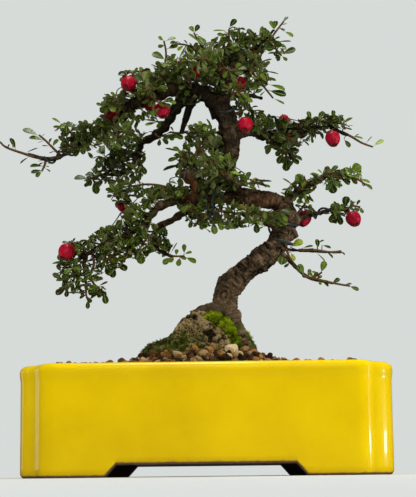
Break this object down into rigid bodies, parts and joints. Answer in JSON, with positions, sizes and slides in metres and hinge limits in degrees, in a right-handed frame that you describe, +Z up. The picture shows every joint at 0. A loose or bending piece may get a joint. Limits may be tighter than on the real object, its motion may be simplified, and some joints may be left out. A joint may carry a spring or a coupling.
{
  "type": "cotoneaster bonsai",
  "caption": "Small cotoneaster bonsai with red berries, grown root over rock in a yellow glazed oblong pot with notched corners and four feet.",
  "frame": {"origin": "on the surface the pot stands on, below the middle of the whole object's box; the pot's middle is 3 mm towards +X", "axes": "+Z up, +X the right of the front view along the pot's length, +Y to the back"},
  "size_m": [0.1773, 0.106, 0.2077],
  "materials": {
    "glaze": "glossy egg-yolk yellow glaze, bare brown clay at the foot",
    "grit": "mixed brown, tan and cream grit and pebbles",
    "porous_rock": "rough porous grey-brown stone",
    "bark": "dull dark grey-brown bark",
    "moss_green": "soft bright green moss",
    "screen_black": "black plastic mesh",
    "wire_grey": "dark anodised wire",
    "berry_red": "crimson skin with a soft shine",
    "leaf_green": "small leathery leaves, darker above than below, on red-brown twigs"
  },
  "bodies": {
    "root": {"pot": "glaze", "soil": "grit", "rock": "porous_rock", "trunk": "bark", "moss_cushion": "moss_green", "moss_flank": "moss_green", "screen_left": "screen_black", "screen_right": "screen_black", "wire_left": "wire_grey", "wire_right": "wire_grey", "berry_crown_left": "berry_red", "berry_high_left": "berry_red", "berry_high_inner": "berry_red", "berry_crown_middle": "berry_red", "berry_crown_front": "berry_red", "berry_crown_back": "berry_red", "berry_right_high": "berry_red", "berry_right_inner": "berry_red", "berry_right_low": "berry_red", "berry_low_left": "berry_red", "berry_back_low": "berry_red", "spray_crown_top": "leaf_green", "spray_crown_left": "leaf_green", "spray_crown_outer": "leaf_green", "spray_crown_inner": "leaf_green", "spray_tall_twig": "leaf_green", "spray_crown_front": "leaf_green", "spray_crown_right": "leaf_green", "spray_crown_tip": "leaf_green", "spray_crown_side": "leaf_green", "spray_crown_back": "leaf_green", "spray_high_upper": "leaf_green", "spray_high_front": "leaf_green", "spray_high_middle": "leaf_green", "spray_high_under": "leaf_green", "spray_high_along": "leaf_green", "spray_high_twig": "leaf_green", "spray_high_tip": "leaf_green", "spray_inner_left": "leaf_green", "spray_inner_low": "leaf_green", "spray_inner_right": "leaf_green", "spray_stub": "leaf_green", "spray_middle_left": "leaf_green", "spray_middle_top": "leaf_green", "spray_middle_front": "leaf_green", "spray_middle_right": "leaf_green", "spray_low_upper": "leaf_green", "spray_low_middle": "leaf_green", "spray_low_under": "leaf_green", "spray_low_hanging": "leaf_green", "spray_low_tip": "leaf_green", "spray_under_tip": "leaf_green", "spray_under_bend": "leaf_green", "spray_right_middle": "leaf_green", "spray_right_middle_tip": "leaf_green", "spray_right_low": "leaf_green", "spray_right_high": "leaf_green", "spray_right_hanging": "leaf_green", "spray_right_high_tip": "leaf_green", "spray_hook_tip": "leaf_green"}
  },
  "joints": []
}
